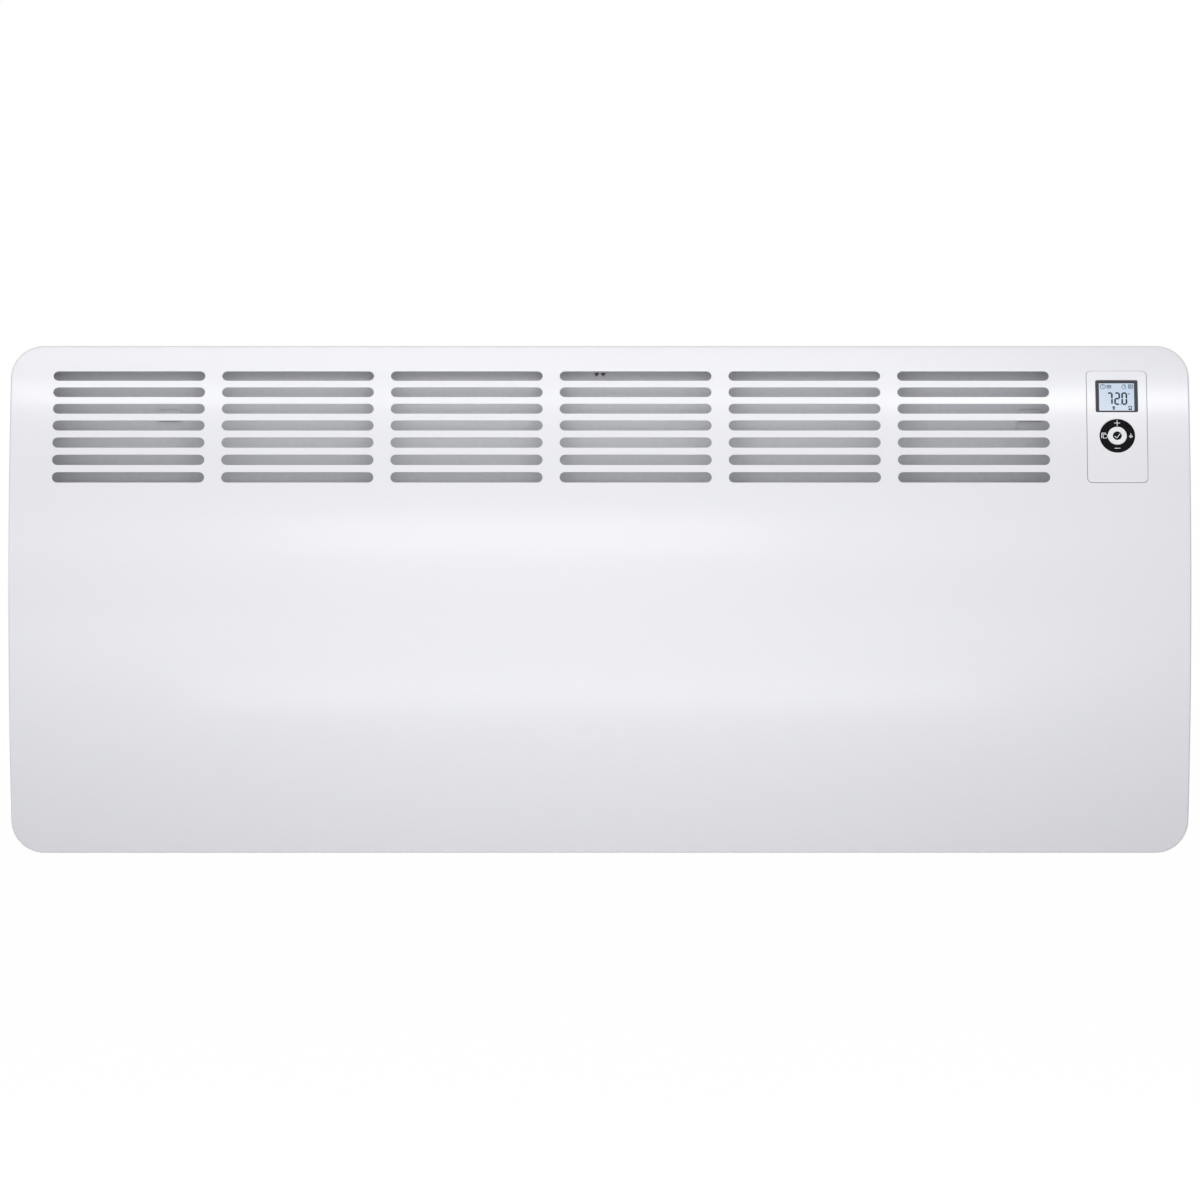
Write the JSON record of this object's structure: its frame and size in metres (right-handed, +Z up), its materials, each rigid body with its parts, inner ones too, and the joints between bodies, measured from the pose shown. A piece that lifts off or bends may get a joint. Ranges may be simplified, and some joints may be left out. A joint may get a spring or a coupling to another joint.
{
  "type": "wall convector heater",
  "caption": "Wall-hung convector heater: bowed sheet front with rows of outlet slots, control panel with display and key ring, galvanised housing, and a hook-on wall bracket.",
  "frame": {"origin": "centre of the four wall-screw holes, on the wall's face", "axes": "+X along the heater to the control panel's end, +Y into the wall, +Z up"},
  "size_m": [1.09, 0.131, 0.47],
  "materials": {
    "white_powder_coat": "fine powder coat, satin",
    "galvanised_sheet": "hot-dip galvanised, faint spangle",
    "zinc_steel": "bright zinc plated",
    "extruded_aluminium": "extruded, fine drawn lines",
    "sheath_steel": "drawn steel sheath",
    "steatite": "unglazed ceramic",
    "white_gloss_abs": "polished moulding",
    "black_gloss_abs": "polished moulding",
    "dark_grey_lacquer": "printed under a clear coat",
    "display_glass": "clear",
    "lcd_glass": "lit pale blue",
    "white_diffuser": "moulded acrylic",
    "grey_abs": "fine spark-eroded texture",
    "board_green": "solder resist",
    "black_nylon": "moulded nylon",
    "black_rubber": "matt",
    "white_nylon": "moulded nylon",
    "component_blue": "moulded case",
    "copper_winding": "taped winding",
    "silicone_grey": "silicone sleeving",
    "pvc_black": "soft pvc"
  },
  "bodies": {
    "bracket": {"bracket_leg_left": "galvanised_sheet", "bracket_leg_right": "galvanised_sheet", "bracket_rail": "galvanised_sheet", "latch_arm": "galvanised_sheet", "bracket_rivets": "zinc_steel", "latch_guide": "black_nylon", "latch_spring": "zinc_steel"},
    "latch": {"latch_slide": "grey_abs"},
    "rocker": {"power_rocker": "black_gloss_abs"},
    "plus_key": {"key_plus": "black_gloss_abs"},
    "minus_key": {"key_minus": "black_gloss_abs"},
    "menu_key": {"key_menu": "black_gloss_abs"},
    "heat_key": {"key_heat": "black_gloss_abs"},
    "ok_key": {"key_ok": "white_gloss_abs", "key_ok_inlay": "black_gloss_abs"},
    "heater": {"front_panel": "white_powder_coat", "rear_housing": "galvanised_sheet", "end_plates": "galvanised_sheet", "panel_brackets": "zinc_steel", "panel_screws": "zinc_steel", "bulkhead": "galvanised_sheet", "bulkhead_grommets": "black_rubber", "air_deflector": "galvanised_sheet", "heat_shield": "galvanised_sheet", "wall_buffers": "black_rubber", "element_left": "extruded_aluminium", "element_right": "extruded_aluminium", "element_rods": "sheath_steel", "element_hangers": "galvanised_sheet", "element_bushes": "steatite", "thermal_limiters": "zinc_steel", "limiter_brackets": "zinc_steel", "control_bezel": "white_gloss_abs", "display_frame": "dark_grey_lacquer", "display_glass": "display_glass", "display_panel": "lcd_glass", "backlight_guide": "white_diffuser", "control_box": "grey_abs", "display_board": "board_green", "key_switches": "black_nylon", "power_board": "board_green", "board_spacers": "zinc_steel", "relays": "component_blue", "transformer": "copper_winding", "capacitors": "component_blue", "board_connectors": "white_nylon", "terminal_block": "steatite", "terminal_screws": "zinc_steel", "earth_stud": "zinc_steel", "gland_body": "black_nylon", "gland_nut": "black_nylon", "gland_seal": "black_rubber", "cable_clamp": "white_nylon", "switch_housing": "black_nylon", "room_sensor": "black_nylon", "sensor_holder": "white_nylon", "element_leads": "silicone_grey", "limiter_leads": "silicone_grey", "supply_leads": "pvc_black", "ribbon_cable": "silicone_grey"}
  },
  "joints": [
    {"name": "lift_off", "type": "slide", "parent": "bracket", "child": "heater", "axis": [0, 0, 1], "range_m": [0, 0.012]},
    {"name": "latch_yield", "type": "slide", "parent": "bracket", "child": "latch", "axis": [0, 1, 0], "range_m": [0, 0.004], "deforming": ["latch_spring"]},
    {"name": "rocker_tilt", "type": "hinge", "parent": "heater", "child": "rocker", "pos_m": [0.531, -0.056, -0.138], "axis": [0, -1, 0], "range_deg": [0, 20]},
    {"name": "plus_key_press", "type": "slide", "parent": "heater", "child": "plus_key", "axis": [0, 0.9473, -0.3204], "range_m": [0, 0.0006], "stiffness_N_per_m": 2500},
    {"name": "minus_key_press", "type": "slide", "parent": "heater", "child": "minus_key", "axis": [0, 0.9473, -0.3204], "range_m": [0, 0.0006], "stiffness_N_per_m": 2500},
    {"name": "menu_key_press", "type": "slide", "parent": "heater", "child": "menu_key", "axis": [0, 0.9473, -0.3204], "range_m": [0, 0.0006], "stiffness_N_per_m": 2500},
    {"name": "heat_key_press", "type": "slide", "parent": "heater", "child": "heat_key", "axis": [0, 0.9473, -0.3204], "range_m": [0, 0.0006], "stiffness_N_per_m": 2500},
    {"name": "ok_key_press", "type": "slide", "parent": "heater", "child": "ok_key", "axis": [0, 0.9473, -0.3204], "range_m": [0, 0.0006], "stiffness_N_per_m": 2500}
  ],
  "couplings": [
    {"joint": "latch_yield", "follows": "lift_off", "ratio": 0.33333}
  ]
}
